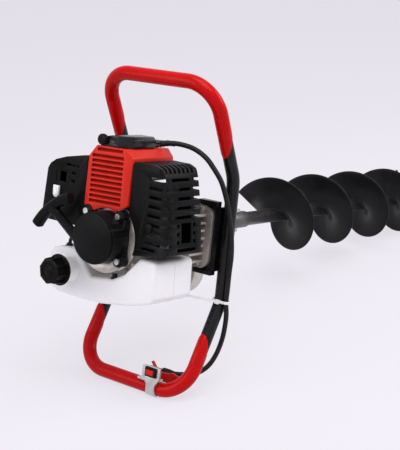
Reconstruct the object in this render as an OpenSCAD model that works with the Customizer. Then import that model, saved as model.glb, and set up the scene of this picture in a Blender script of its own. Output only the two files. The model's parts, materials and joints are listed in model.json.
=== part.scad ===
// Two-stroke earth auger: engine, clutch, spur gearbox, looped handle frame and a spiral bit.
// It lies as it was seen: on its lower handle bar and on the rim of the bit, units are mm.
// Machine frame: X runs along the crank and the bit, Z along the cylinder, Y to the air filter.

/* [Auger bit] */
// Outer diameter of the flight
bit_d = 150; // [130:1:170]
// Advance of the flight in one turn
bit_pitch = 155; // [140:1:170]
// Number of turns of flight
bit_turns = 4; // [3:1:5]
// Thickness of the flight plate
flight_t = 4; // [3:0.5:5]
// Diameter of the bit shaft
bit_shaft_d = 26; // [24:0.5:30]
// Shaft length from the socket mouth to the first flight
shank_l = 120; // [90:1:150]
// Length of the pilot point in front of the flight
pilot_l = 60; // [45:1:80]
// Width of the cutting blade along the flight, in degrees
blade_angle = 52; // [40:1:60]

/* [Handle frame] */
// Outer diameter of the frame tube
tube_d = 22; // [20:0.5:24]
// Wall of the frame tube
tube_wall = 2; // [1.5:0.5:3]
// Distance between the two upright posts
post_gap = 233; // [225:1:250]
// Height of each bend above or below the axis
kink_z = 104; // [98:1:115]
// Angle by which each loop leans towards the engine
loop_lean = 27; // [24:1:30]
// Length of each loop from its bend to its bar
loop_l = 174; // [165:1:185]
// Centre-line radius of the loop corners
corner_r = 54; // [52:1:58]
// Centre-line radius of the post bends
kink_r = 60; // [45:1:70]
// Thickness of the red dipped coat
grip_t = 1.3; // [1:0.1:1.8]
// Depth at which the upper coat ends, measured from the posts
dip_x = 32; // [28:1:38]
// Depth at which the lower coat ends, measured from the posts
low_dip_x = 40; // [34:1:42]

/* [Engine] */
// Diameter of the starter's round front
starter_d = 82; // [78:1:86]
// Cylinder bore
bore_d = 44; // [40:0.5:45]
// Piston stroke
stroke = 34; // [30:1:36]
// Number of cooling fins
fin_count = 8; // [6:1:8]
// Width of the red shroud
shroud_w = 89; // [88:1:92]
// Wall of the plastic covers
shell_t = 2.5; // [2:0.5:3]
// Number of louvres in the red shroud
louvre_count = 10; // [8:1:10]

/* [Fuel tank] */
// Depth of the tank along the axis
tank_l = 95; // [85:1:98]
// Wall of the tank
tank_t = 2.5; // [2:0.5:3]
// Outer diameter of the filler neck
neck_d = 40; // [36:1:42]
// Outer diameter of the cap's rim
cap_d = 53; // [48:1:54]

/* [Gearbox] */
// Tooth module of both stages
gear_module = 1.25; // [1.2:0.01:1.25]
// Face width of the first stage
stage1_w = 12; // [10:0.5:13]
// Face width of the second stage
stage2_w = 15; // [13:0.5:16]
// Diameter of the output shaft
output_d = 20; // [18:0.5:20]

/* [Controls] */
// Distance of the switch clamp from the middle of the lower bar
clamp_y = 57; // [50:1:57]
// Travel of the stop button
button_travel = 3; // [2:0.5:3.5]
// Outer diameter of the throttle cable sleeve
cable_d = 8.5; // [7:0.5:9]
// Length of the pull grip
pull_l = 92; // [84:1:96]
// Direction of the starter rope above the horizontal
pull_angle = 34; // [31:1:36]

/* [Fits] */
// Radial clearance of a running fit
run_fit = 0.05; // [0.03:0.01:0.1]
// Gap between pieces that move past each other
move_gap = 0.4; // [0.3:0.1:0.6]
// Gap between fixed pieces that seat on each other
seat_gap = 0.1; // [0.05:0.05:0.2]
// Hairline between two lengths of tube at a weld
weld_gap = 0.02; // [0.02:0.01:0.05]
// Length of the backing ring inside a weld
weld_ring_l = 6; // [4:1:10]

/* [Hidden] */
$fn = 48;
tube_r = tube_d / 2;
grip_r = tube_r + grip_t;
post_y = post_gap / 2;
bar_x = -loop_l * sin(loop_lean);
bar_z = -kink_z - loop_l * cos(loop_lean);
kink_tan = kink_r * tan(loop_lean / 2);
leg_l = loop_l - corner_r - kink_tan;
bit_r = bit_d / 2;
bit_shaft_r = bit_shaft_d / 2;
output_r = output_d / 2;

// Stations along the axis, from the starter to the point of the bit
crank_x0 = -165;
crank_x1 = -78;
plate_x0 = -15;
plate_x1 = -11;
case_x1 = 48;
sump_x1 = 16;
cover_x1 = 68;
nose_x1 = 102;
socket_x0 = 160;
socket_l = 52;
flight_x0 = socket_x0 + shank_l;
flight_l = bit_turns * bit_pitch;
flight_x1 = flight_x0 + flight_l;
pilot_x1 = flight_x1 + pilot_l;
flight_a0 = 30;
starter_x0 = -207.5;
cyl_x = -120;

// The bit touches the floor at the last low point of its rim
low_turn = bit_turns - (flight_a0 + 90) / 360;
rim_x = flight_x0 + low_turn * bit_pitch + flight_t / 2;
rim_lean = asin(bit_pitch * (-bit_r - bar_z) / (rim_x - bar_x) / (2 * PI * bit_r));
rest_dx = rim_x + bit_pitch * rim_lean / 360 - bar_x;
rest_dz = -bit_r * cos(rim_lean) - bar_z;
rest_tilt = atan2(rest_dz, rest_dx) + asin(grip_r / norm([rest_dx, rest_dz]));

// Gear train: both stages have the same tooth counts, so the output lies on the crank axis
pinion_n = 11;
wheel_n = 61;
mesh_angle = 25;
addendum = 0.7;
dedendum = 0.95;
tooth_thin = 0.3;
lay_y = (pinion_n + wheel_n) * gear_module / 2;
wheel_tip_r = (wheel_n / 2 + addendum) * gear_module;
pinion_root_r = (pinion_n / 2 - dedendum) * gear_module;
stage1_x0 = 8;
stage2_x0 = 46 - stage2_w;
case_in_r = wheel_tip_r + 2;
case_r = case_in_r + 4;
ear_spots = [[-37, 34], [-37, -34], [22, 51], [22, -51], [88, 20], [88, -20]];

// Engine sizes that follow from the bore and the stroke
crank_r = stroke / 2;
rod_l = 60;
pin_z = crank_r + rod_l;
bore_r = bore_d / 2;
barrel_r = bore_r + 5;
deck_z = 44;
crown_z = pin_z + 20;
head_z = crown_z + 15;
fin_step = 7.5;
drum_r = 39;
drum_in_r = 36;

// Pull grip: the rope leaves the starter on a line that passes the axis at rope_off
rope_off = 30;
pull_reach = 103;
grip_tilt = 17.5;
arch_r = 130;
grip_bar_r = 9.2;
pull_x = -197;
pull_y = rope_off * sin(pull_angle) + pull_reach * cos(pull_angle);
pull_z = -rope_off * cos(pull_angle) + pull_reach * sin(pull_angle);
seat_d = 20;

// Front and back of each cover along the axis
shroud_x0 = -178;
shroud_x1 = -70;
lid_x0 = -176;
lid_x1 = -105;
guard_x0 = -171.5;
guard_x1 = -82;
filter_x0 = -168;
filter_x1 = -92;

// Outlines in the plane across the axis, as seen from the bit with Y to the right
shroud_mid = 4.25;
shroud_l = shroud_mid + shroud_w / 2;
shroud_r = shroud_mid - shroud_w / 2;
shroud_pts = [[shroud_r + 21, 41], [shroud_l - 11, 39], [shroud_l, 45], [shroud_l - 2.5, 126],
    [shroud_l - 18, 145], [shroud_r + 12, 145], [shroud_r, 132], [shroud_r, 56]];
shroud_edge = [6.5, 8.5];
louvre_step = 8.2;
louvre_h = 5.6;
lid_pts = [[-30, 145.2], [27, 145.2], [25, 152], [16, 161], [4, 163.5], [-24, 164], [-30, 159]];
lid_edge = [19, 20];
lead_spot = [-20, 152];
knob_spot = [18, 155.4];
guard_y0 = shroud_r - 2;
guard_pts = [[guard_y0, -22], [guard_y0, 129], [-86, 128.5], [-99, 123.5], [-104.5, 110], [-113, 74],
    [-120, 31], [-125, -11]];
guard_edge = [8, 8];
guard_row = 14.5;
filter_pts = [[58, 26], [74, 4], [146, 4], [153, 12], [146.5, 90], [141, 99], [129, 107], [106, 114.5],
    [58, 124]];
choke_spot = [121, 50];
box_z = 34;
tank_x0 = -165;
tank_x1 = tank_x0 + tank_l;
tank_pts = [[-97, -93], [-63, -103], [-30, -109.5], [10, -115.5], [40, -117], [106, -116.5], [130, -107],
    [137, -88], [132, -53], [124, -42], [106, -37], [74, -35], [62, -46], [50, -60], [34, -75], [10, -72],
    [-14, -68.5], [-36, -57], [-52, -40], [-66, -24], [-103, -24], [-105, -84]];
neck_y = 80.5;
neck_z = -70;
neck_x0 = -190;
neck_r = neck_d / 2;
cap_plug_r = neck_r - 4;

// Stop switch and throttle lever
plate_face = bar_x - grip_r - 4;
sw_z = bar_z + 31;
sw_w = 11.5;
sw_h = 8.3;
key_w = 8;
key_h = 4.8;
plate_top = bar_z + 41;
lever_x = bar_x + 21;
lever_y = 22 - clamp_y;
hub_top = bar_z + 25;
stop_x = bar_x + 41;
stop_z = bar_z + 17.5;

// Height of the band that holds the cable sleeve to the post, below the axis
tie_z = 102;

// Route of the cable sleeve, of the fuel hose and of the wound starter rope
cable_pts = [[-84.5, -20.5, 152], [-80.5, -25, 152.5], [-75, -33, 154], [-66, -49, 154.5], [-56, -70, 150],
    [-49.5, -91, 138.5], [-45, -108, 121], [-40, -121, 102], [-36, -130, 79], [-31, -135, 55], [-24, -137, 30],
    [-18, -138, 5], [-14, -138, -22], [-12, -136, -50], [-9, -134, -80], [-8, -post_y - 16.5, -tie_z],
    [-5, -134, -122], [-2, -132, -142], [1, -127, -168], [1, -119, -195], [-2, -109, -217],
    [-9, -98, -231], [-19, -85, -238.5], [-29, -70, -241], [-35.5, -60, -241.5],
    [stop_x, lever_y - 17, stop_z]];
hose_pts = [[-150, 100, -34.5], [-149.6, 98.9, -26.2], [-148.4, 95.7, -18.6], [-146.5, 90.7, -12.2],
    [-144.1, 84.2, -7.5], [-141.2, 76.7, -4.9], [-138.4, 69.2, -2.4], [-136, 62.7, 2.3], [-134.1, 57.7, 8.7],
    [-132.9, 54.5, 16.3], [-132.5, 53.4, 24.6], [-132.2, 53.9, 34.5], [-131.4, 56, 47.4]];
coil_turns = 3;
coil_pts = [for (i = [0:coil_turns * 18]) [-196.6 + i * 3 / 18, 28 * cos(i * 20), 28 * sin(i * 20)]];

// Moves the machine frame to the pose at rest: lower bar at the origin, floor at zero
module rest_pose() translate([0, 0, grip_r]) rotate([0, rest_tilt, 0])
    translate([-bar_x, 0, -bar_z]) children();

// Round bar along the axis
module xcyl(x0, x1, r) translate([x0, 0, 0]) rotate([0, 90, 0]) cylinder(h = x1 - x0, r = r);

// Round bar along the axis at a spot across it
module xpin(p, x0, x1, r) translate([0, p[0], p[1]]) xcyl(x0, x1, r);

// Flat outline across the axis, given thickness along it
module xslab(x0, x1) translate([x0, 0, 0]) rotate([90, 0, 90]) linear_extrude(x1 - x0) children();

// Round bar along Y at a given place
module ycyl(x, z, y0, y1, r) translate([x, y0, z]) rotate([-90, 0, 0]) cylinder(h = y1 - y0, r = r);

// Upright round bar at a given place
module zcyl(x, y, z0, z1, r) translate([x, y, z0]) cylinder(h = z1 - z0, r = r);

// Block between two corners
module block(a, b) translate(a) cube(b - a);

// Rectangle with round corners
module round_rect(w, h, r) {
    square([w - 2 * r, h], center = true);
    square([w, h - 2 * r], center = true);
    for (s = [-1, 1]) {
        for (t = [-1, 1]) {
            translate([s * (w / 2 - r), t * (h / 2 - r)]) circle(r = r);
        }
    }
}

// Outline of the gearbox: two circles joined, around the output and the layshaft
module case_outline(r) {
    circle(r = r);
    translate([lay_y, 0]) circle(r = r);
    translate([0, -r]) square([lay_y, 2 * r]);
}

// Inward normal of an edge of an anticlockwise outline
function edge_in(a, b) = [a[1] - b[1], b[0] - a[0]] / norm(b - a);

// Outline moved inwards by a wall
function inset(p, d) = let (n = len(p)) [for (i = [0:n - 1])
    let (u = edge_in(p[(i + n - 1) % n], p[i]), v = edge_in(p[i], p[(i + 1) % n]))
    p[i] + (u + v) * d / (1 + u * v)];

// One corner of an outline turned into a short arc
function soft_corner(a, b, c, r, n) = let (
    u = (a - b) / norm(a - b), v = (c - b) / norm(c - b), half = acos(max(-1, min(1, u * v))) / 2,
    cut = min(r / tan(half), norm(a - b) * 0.45, norm(c - b) * 0.45))
    [for (k = [0:n]) let (t = k / n)
        (1 - t) * (1 - t) * (b + u * cut) + 2 * t * (1 - t) * b + t * t * (b + v * cut)];

// Outline with all its corners rounded
function soft(p, r, n = 3) = let (m = len(p)) [for (i = [0:m - 1])
    each soft_corner(p[(i + m - 1) % m], p[i], p[(i + 1) % m], r, n)];

// Helpers of the tubes that follow a route
function unit(v) = v / norm(v);
function heading(p, i) = unit(p[min(i + 1, len(p) - 1)] - p[max(i - 1, 0)]);
function carry(v, t) = unit(v - (v * t) * t);
function side_dirs(p, i, v, out) = i == len(p) ? out
    : let (n = carry(v, heading(p, i))) side_dirs(p, i + 1, n, concat(out, [n]));
function curve_at(a, b, c, d, t) = b + (c - a) * t / 2 + (2 * a - 5 * b + 4 * c - d) * t * t / 2
    + (3 * b - a - 3 * c + d) * t * t * t / 2;
function smooth(p, n) = let (m = len(p) - 1) concat([for (i = [0:m - 1]) for (k = [0:n - 1])
    curve_at(p[max(i - 1, 0)], p[i], p[i + 1], p[min(i + 2, m)], k / n)], [p[m]]);

// Round tube along a route, closed at both ends
module routed(p, r, sides, first) {
    dirs = side_dirs(p, 0, first, []);
    rings = len(p);
    pts = [for (i = [0:rings - 1]) let (t = heading(p, i), b = cross(t, dirs[i]))
        for (k = [0:sides - 1]) p[i] + r * (cos(k * 360 / sides) * dirs[i] + sin(k * 360 / sides) * b)];
    walls = [for (i = [0:rings - 2]) for (k = [0:sides - 1]) let (j = (k + 1) % sides)
        each [[i * sides + k, (i + 1) * sides + k, i * sides + j],
            [i * sides + j, (i + 1) * sides + k, (i + 1) * sides + j]]];
    near_end = [for (k = [0:sides - 1]) k];
    far_end = [for (k = [0:sides - 1]) rings * sides - 1 - k];
    polyhedron(pts, concat(walls, [near_end, far_end]));
}

// Screw surface of a given thickness around the axis, from angle a0 to a1
module screw_plate(x0, a0, a1, r0, r1, t, steps) {
    pts = [for (i = [0:steps]) let (a = a0 + (a1 - a0) * i / steps, x = x0 + bit_pitch * (a - a0) / 360)
        each [[x - t / 2, r0 * cos(a), r0 * sin(a)], [x - t / 2, r1 * cos(a), r1 * sin(a)],
            [x + t / 2, r1 * cos(a), r1 * sin(a)], [x + t / 2, r0 * cos(a), r0 * sin(a)]]];
    walls = [for (i = [0:steps - 1]) for (k = [0:3]) let (a = 4 * i + k, b = 4 * i + (k + 1) % 4)
        each [[a, a + 4, b], [b, a + 4, b + 4]]];
    last = 4 * steps;
    polyhedron(pts, concat(walls, [[0, 1, 2, 3], [last + 3, last + 2, last + 1, last]]));
}

// Involute gear outline with a tooth on the first axis
function roll(a) = tan(a) * 180 / PI - a;
function gear_outline(n) = let (
    r = n * gear_module / 2, rb = r * cos(mesh_angle), tip = r + addendum * gear_module,
    root = r - dedendum * gear_module, half = (90 - 90 * tooth_thin / (r * PI) * n / 90) / n,
    base = half + roll(mesh_angle), low = max(rb, root), q = [root, low + 0.02, (low + tip) / 2, tip])
    [for (i = [0:n - 1]) for (s = [-1, 1]) for (k = [0:3]) let (
        rad = s < 0 ? q[k] : q[3 - k], a = base - roll(acos(min(1, rb / max(rad, rb)))))
        rad * [cos(i * 360 / n + s * a), sin(i * 360 / n + s * a)]];

// Ring that makes the wall of a tube
module ring(r, ri) {
    difference() {
        circle(r = r);
        circle(r = ri);
    }
}

// Straight length of tube along Z
module pipe(l, r, ri) linear_extrude(l) ring(r, ri);

// Backing ring inside a butt weld of the frame tube
module weld_ring() translate([0, 0, -weld_ring_l / 2])
    pipe(weld_ring_l, tube_r - tube_wall / 2, tube_r - tube_wall - 0.6);

// Bent length of tube
module elbow(bend_r, angle, r, ri) rotate_extrude(angle = angle) translate([bend_r, 0]) ring(r, ri);

// Upper loop from its two legs outwards: legs, corners and bar
module loop_tube(r, ri) {
    translate([0, 0, kink_z]) rotate([0, -loop_lean, 0]) {
        for (s = [0, 1]) {
            mirror([0, s, 0]) {
                translate([0, post_y, kink_tan + weld_gap]) pipe(leg_l - 2 * weld_gap, r, ri);
                translate([0, post_y - corner_r, loop_l - corner_r]) rotate([90, 0, 90])
                    elbow(corner_r, 90, r, ri);
            }
        }
        translate([0, corner_r - post_y, loop_l]) rotate([-90, 0, 0]) pipe(2 * (post_y - corner_r), r, ri);
    }
}

// Upper half of the frame: two half posts, two bends and the loop
module half_frame() {
    ri = tube_r - tube_wall;
    for (s = [0, 1]) {
        mirror([0, s, 0]) {
            translate([0, post_y, seat_gap / 2]) pipe(kink_z - kink_tan - seat_gap / 2, tube_r, ri);
            translate([-kink_r, post_y, kink_z - kink_tan]) rotate([90, 0, 0])
                elbow(kink_r, loop_lean, tube_r, ri);
        }
    }
    loop_tube(tube_r, ri);
    translate([0, 0, kink_z]) rotate([0, -loop_lean, 0]) {
        for (y = [-post_y, post_y], z = [kink_tan, kink_tan + leg_l]) {
            translate([0, y, z]) weld_ring();
        }
    }
}

module upper_frame() color("#1c1c1e") rest_pose() half_frame();

module lower_frame() color("#1c1c1e") rest_pose() mirror([0, 0, 1]) half_frame();

// Dipped coat of the upper loop, cut where the dip ended
module grip_coat(dip) {
    intersection() {
        loop_tube(grip_r, tube_r + seat_gap);
        block([-200, -200, kink_z], [-dip, 200, 400]);
    }
}

module upper_grip() color("#b3171c") rest_pose() grip_coat(dip_x);

module lower_grip() color("#b3171c") rest_pose() mirror([0, 0, 1]) grip_coat(low_dip_x);

// Steel plate between the posts, with four ears round the clutch housing and flanges along the posts
module mount_plate() color("#1f1f21") rest_pose() {
    side = post_y - tube_r - seat_gap;
    difference() {
        union() {
            block([plate_x0, -side, -56], [plate_x1, side, 56]);
            for (s = [0, 1]) {
                mirror([0, s, 0]) {
                    block([-24, 68, 57], [plate_x1, side, 65]);
                    block([plate_x0, 68, 55], [plate_x1, side, 58]);
                    block([-24, 68, -60], [plate_x1, side, -53]);
                    block([plate_x1, side - 4, -54], [9, side, 55]);
                }
            }
        }
        xcyl(plate_x0 - 1, plate_x1 + 1, 20);
        for (p = ear_spots) {
            xpin(p, plate_x0 - 1, plate_x1 + 1, 3 + seat_gap);
        }
        for (p = bolt_spots()) {
            xpin(p, plate_x0 - 1, plate_x1 + 1, 3 + seat_gap);
        }
    }
}

// Places of the four bolts of the clutch housing
function bolt_spots() = [[-72, -44], [-72, 48], [72, -44], [72, 48]];

// Hexagon bolt with its head towards the starter
module bolt_in(p, head_x, end_x) {
    xpin(p, head_x, end_x, 3);
    translate([head_x - 4, p[0], p[1]]) rotate([0, 90, 0]) cylinder(h = 4, r = 5.8, $fn = 6);
    xpin(p, head_x - 1.2, head_x, 7.6);
}

module plate_bolts() color("#9a9c9f") rest_pose() {
    for (p = bolt_spots()) {
        bolt_in(p, -22 - seat_gap, plate_x1 + 7);
        translate([plate_x1 + seat_gap, p[0], p[1]]) rotate([0, 90, 0]) difference() {
            cylinder(h = 5, r = 5.8, $fn = 6);
            translate([0, 0, -1]) cylinder(h = 7, r = 3 - 0.2);
        }
    }
}

// Cast housing of the fan and the clutch, with its flange, ribs and lower foot
module clutch_housing() color("#b9b7b2") rest_pose() {
    difference() {
        union() {
            xcyl(crank_x1, plate_x0, 60);
            xslab(-22, plate_x0) translate([0, 2]) round_rect(192, 108, 18);
            for (z = [-39:13:39]) {
                block([-58, -84, z - 2], [-21, 84, z + 2]);
            }
            for (s = [-1, 1]) {
                block([-69, s * 51 - 21, -86], [-48, s * 51 + 21, -44]);
            }
        }
        xcyl(crank_x1 - 1, -38, 56);
        xcyl(-39, -19, drum_r + 4);
        xcyl(-20, plate_x0 + 1, 16);
        for (p = bolt_spots()) {
            xpin(p, -23, plate_x0 + 1, 3 + seat_gap);
            xpin(p, -60, -22, 8);
        }
        for (s = [-1, 1]) {
            xpin([s * 62, -76], -70, -47, 3.5);
        }
    }
}

module gearbox_housing() color("#b9b5ae") rest_pose() {
    difference() {
        union() {
            xslab(plate_x1, case_x1) case_outline(case_r);
            xpin([-18, -66], plate_x1, sump_x1, 45);
            for (p = ear_spots) {
                xpin(p, plate_x1, case_x1, 8);
            }
        }
        xslab(4, case_x1 + 1) case_outline(case_in_r);
        xcyl(-7, 5, 16 + seat_gap);
        xcyl(plate_x1 - 1, 0, 12);
        xpin([lay_y, 0], -6, 5, 14 + seat_gap);
        for (p = ear_spots) {
            xpin(p, plate_x1 - 1, case_x1 + 1, 3 + seat_gap);
        }
    }
}

module gearbox_cover() color("#b9b5ae") rest_pose() {
    difference() {
        union() {
            xslab(case_x1, cover_x1) case_outline(case_r);
            for (p = ear_spots) {
                xpin(p, case_x1, cover_x1, 8);
            }
            xcyl(cover_x1 - 1, nose_x1, 30);
            for (a = [0:60:300]) {
                rotate([a, 0, 0]) block([cover_x1 - 1, 20, -2.5], [nose_x1 - 8, 40, 2.5]);
            }
        }
        xcyl(case_x1 - 1, 64, 21 + seat_gap);
        xcyl(63, 82, 14);
        xcyl(81.8, nose_x1 + 1, 21 + seat_gap);
        xpin([lay_y, 0], case_x1 - 1, 58, 14 + seat_gap);
        for (p = ear_spots) {
            xpin(p, case_x1 - 1, cover_x1 + 1, 3 + seat_gap);
        }
    }
}

module gearbox_screws() color("#8f9194") rest_pose() {
    for (p = ear_spots) {
        xpin(p, plate_x0 + 0.5, cover_x1 + 1, 3);
        difference() {
            xpin(p, cover_x1 + seat_gap, cover_x1 + 6, 5);
            translate([cover_x1 + 3, p[0], p[1]]) rotate([0, 90, 0]) cylinder(h = 4, r = 2.9, $fn = 6);
        }
    }
}

// Ball bearing as one ring with its two races and a groove between them
module bearing(p, x0, w, ri, ro) {
    difference() {
        xpin(p, x0, x0 + w, ro);
        xpin(p, x0 - 1, x0 + w + 1, ri);
        for (x = [x0 - 1, x0 + w - 1]) {
            difference() {
                xpin(p, x, x + 2, ro - (ro - ri) * 0.3);
                xpin(p, x - 1, x + 3, ri + (ro - ri) * 0.3);
            }
        }
    }
}

module ball_bearings() color("#a9abae") rest_pose() {
    bearing([0, 0], -6.5, 9, 7.5 + run_fit, 16);
    bearing([lay_y, 0], -5.5, 8, 6 + run_fit, 14);
    bearing([lay_y, 0], 49.5, 8, 6 + run_fit, 14);
    bearing([0, 0], 51, 12, output_r + run_fit, 21);
    bearing([0, 0], 82, 12, output_r + run_fit, 21);
    bearing([0, 0], -158, 11, 7.5 + seat_gap, 17.5);
    bearing([0, 0], -94, 11, 7.5 + seat_gap, 17.5);
}

module output_seal() color("#151515") rest_pose() {
    difference() {
        xcyl(94.5, nose_x1, 21);
        xcyl(94, nose_x1 + 1, output_r + move_gap);
        difference() {
            xcyl(nose_x1 - 2, nose_x1 + 1, 18);
            xcyl(nose_x1 - 3, nose_x1 + 2, output_r + 3);
        }
    }
}

// Cast cowl under the starter, stepped towards the front and open for the starter and its ears
module starter_cowl() {
    spot = [4, -12.5];
    difference() {
        union() {
            xpin(spot, -181, crank_x0 + 1, 44);
            xpin(spot, -177, crank_x0 + 1, 46);
            xpin(spot, -172, crank_x0 + 1, 48);
        }
        xcyl(-182, crank_x0, starter_d / 2 + 2);
        block([-182, -60, -box_z - move_gap], [crank_x0, 60, 60]);
        for (p = starter_spots()) {
            xpin(p, -182, crank_x0, 9.5 + move_gap);
        }
    }
}

// Crankcase with the round starter flange, the cylinder seat and two bearing seats
module crankcase() color("#b4b2ad") rest_pose() {
    difference() {
        union() {
            xcyl(crank_x0, crank_x1, deck_z - 0.5);
            xcyl(crank_x0, crank_x0 + 6, 58);
            xcyl(crank_x1 - 5, crank_x1, 59);
            block([cyl_x - 32, -32, 0], [cyl_x + 32, 32, deck_z]);
            starter_cowl();
        }
        xcyl(cyl_x - 26, cyl_x + 26, 34);
        zcyl(cyl_x, 0, 0, deck_z + 1, bore_r + 1);
        xcyl(-158.2, cyl_x, 17.5 + seat_gap);
        xcyl(cyl_x, -82.8, 17.5 + seat_gap);
        xcyl(crank_x0 - 1, crank_x1 + 1, 10);
        for (p = starter_spots()) {
            xpin(p, crank_x0 - 1, crank_x0 + 7, 2.5 + seat_gap);
        }
    }
}

module crankshaft() color("#8d8f92") rest_pose() {
    xcyl(-182, cyl_x - 22, 7.5);
    xcyl(cyl_x + 22, -43, 7.5);
    difference() {
        union() {
            xcyl(cyl_x - 23, cyl_x - 7, 31);
            xcyl(cyl_x + 7, cyl_x + 23, 31);
        }
        for (s = [-1, 1]) {
            block([cyl_x - 30, s * 24 - 11, 14], [cyl_x + 30, s * 24 + 11, 40]);
        }
    }
    xpin([0, crank_r], cyl_x - 8, cyl_x + 8, 6);
}

module connecting_rod() color("#94969a") rest_pose() {
    difference() {
        union() {
            xpin([0, crank_r], cyl_x - 5, cyl_x + 5, 10);
            xpin([0, pin_z], cyl_x - 5, cyl_x + 5, 8);
            block([cyl_x - 3.5, -5, crank_r + 4], [cyl_x + 3.5, 5, pin_z - 4]);
        }
        xpin([0, crank_r], cyl_x - 6, cyl_x + 6, 6 + seat_gap);
        xpin([0, pin_z], cyl_x - 6, cyl_x + 6, 5 + seat_gap);
    }
}

module piston() color("#bdbdbd") rest_pose() {
    difference() {
        zcyl(cyl_x, 0, pin_z - 16, crown_z, bore_r - seat_gap);
        difference() {
            zcyl(cyl_x, 0, pin_z - 17, crown_z - 7, bore_r - 3.5);
            xpin([0, pin_z], cyl_x - 30, cyl_x - 7, 9);
            xpin([0, pin_z], cyl_x + 7, cyl_x + 30, 9);
        }
        xpin([0, pin_z], cyl_x - 30, cyl_x + 30, 5 + seat_gap);
        for (z = [crown_z - 4, crown_z - 8]) {
            difference() {
                zcyl(cyl_x, 0, z - 1.5, z, bore_r + 1);
                zcyl(cyl_x, 0, z - 2, z + 1, bore_r - 1.8);
            }
        }
    }
}

module piston_pin() color("#a2a4a7") rest_pose() {
    xpin([0, pin_z], cyl_x - bore_r + 3, cyl_x + bore_r - 3, 5);
}

// Finned cylinder with its head, an exhaust boss towards -Y and an intake boss towards +Y
module cylinder_block() {
    zcyl(cyl_x, 0, deck_z, head_z, barrel_r);
    block([cyl_x - 31, -31, deck_z], [cyl_x + 31, 31, deck_z + 6]);
    for (i = [0:fin_count - 1]) {
        block([cyl_x - 37, -36, head_z - 3 - i * fin_step], [cyl_x + 37, 36, head_z - i * fin_step]);
    }
    ycyl(cyl_x, 72, -42, 0, 14);
    ycyl(cyl_x, 62, 0, 42, 14);
}

module finned_cylinder() color("#c4c3bf") rest_pose() {
    difference() {
        cylinder_block();
        zcyl(cyl_x, 0, deck_z - 1, crown_z + 1.5, bore_r);
        zcyl(cyl_x, 0, crown_z, crown_z + 5, bore_r - 6);
        zcyl(cyl_x, 0, crown_z, head_z + 1, 7 + seat_gap);
        ycyl(cyl_x, 72, -43, -barrel_r + 6, 9);
        ycyl(cyl_x, 62, barrel_r - 6, 43, 9);
    }
}

module spark_plug() color("#e6e3da") rest_pose() {
    zcyl(cyl_x, 0, crown_z + 2, head_z + 1, 7);
    translate([cyl_x, 0, head_z + seat_gap]) cylinder(h = 9, r = 11, $fn = 6);
    zcyl(cyl_x, 0, head_z + 8, head_z + 13, 7.5);
    zcyl(cyl_x, 0, head_z + 12, head_z + 30, 5.5);
    zcyl(cyl_x, 0, head_z + 29, head_z + 35, 3);
}

module plug_cap() color("#1a1a1a") rest_pose() {
    difference() {
        union() {
            zcyl(cyl_x, 0, head_z + 18, head_z + 42, 9);
            translate([cyl_x, 0, head_z + 36]) rotate([0, -90, 0]) cylinder(h = 22, r = 5);
        }
        zcyl(cyl_x, 0, head_z + 17, head_z + 36, 5.5 + seat_gap);
    }
}

module flywheel() color("#a5a7a9") rest_pose() {
    difference() {
        union() {
            xcyl(-73, -62, 50);
            xcyl(-74, -56, 15);
            for (a = [0:24:336]) {
                rotate([a, 0, 0]) block([-63, 26, -1.2], [-52, 49, 1.2]);
            }
        }
        xcyl(-75, -50, 7.5 + seat_gap);
    }
}

module ignition_coil() color("#222224") rest_pose() {
    difference() {
        block([-75, -11, 50.8], [-62, 11, 54]);
        xcyl(-80, -60, 50.8);
    }
}

// Centrifugal clutch: hub and two shoes inside the drum
module clutch_shoes() color("#85878a") rest_pose() {
    difference() {
        xcyl(-51, -44, 12);
        xcyl(-60, -40, 7.5 + seat_gap);
    }
    for (s = [0, 1]) {
        mirror([0, s, 0]) difference() {
            xcyl(-51, -41, 34.5);
            xcyl(-52, -40, 13);
            block([-52, -40, -40], [-40, 3, 40]);
        }
    }
}

// Clutch drum with its shaft and the first pinion cut on it
module clutch_drum() color("#7d7f83") rest_pose() {
    difference() {
        xcyl(-50, -34, drum_r);
        xcyl(-51, -38, drum_in_r);
    }
    xcyl(-35, 4, 7.5);
    xcyl(3, stage1_x0 + 1, pinion_root_r);
    xslab(stage1_x0, stage1_x0 + stage1_w + 2) polygon(gear_outline(pinion_n));
}

// Layshaft: large wheel of the first stage and pinion of the second
module layshaft() color("#8a8c90") rest_pose() translate([0, lay_y, 0]) {
    xcyl(-5, 4, 6);
    difference() {
        xslab(stage1_x0 + 1, stage1_x0 + stage1_w + 1) polygon(gear_outline(wheel_n));
        for (a = [30:60:330]) {
            xpin([24 * cos(a), 24 * sin(a)], 0, 40, 7.5);
        }
    }
    xcyl(4, stage1_x0 + stage1_w + 3, 10);
    xcyl(stage1_x0 + stage1_w + 2, stage2_x0 + 1, pinion_root_r);
    xslab(stage2_x0 - 1, stage2_x0 + stage2_w + 1) polygon(gear_outline(pinion_n));
    xcyl(46, 49.3, pinion_root_r);
    xcyl(49.3, 57.3, 6);
}

module output_gear() color("#8f9195") rest_pose() {
    difference() {
        union() {
            xslab(stage2_x0, stage2_x0 + stage2_w) polygon(gear_outline(wheel_n));
            xcyl(stage2_x0 - 2, stage2_x0 + stage2_w + 2, 16);
        }
        xcyl(stage2_x0 - 5, 60, output_r + seat_gap);
        for (a = [0:60:300]) {
            xpin([26 * cos(a), 26 * sin(a)], 0, 60, 7.5);
        }
    }
}

module output_shaft() color("#a7a9ac") rest_pose() {
    difference() {
        xcyl(stage1_x0 + stage1_w + 6, socket_x0 + socket_l - 6, output_r);
        zcyl(socket_x0 + 26, 0, -40, 40, 4 + seat_gap);
    }
}

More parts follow.
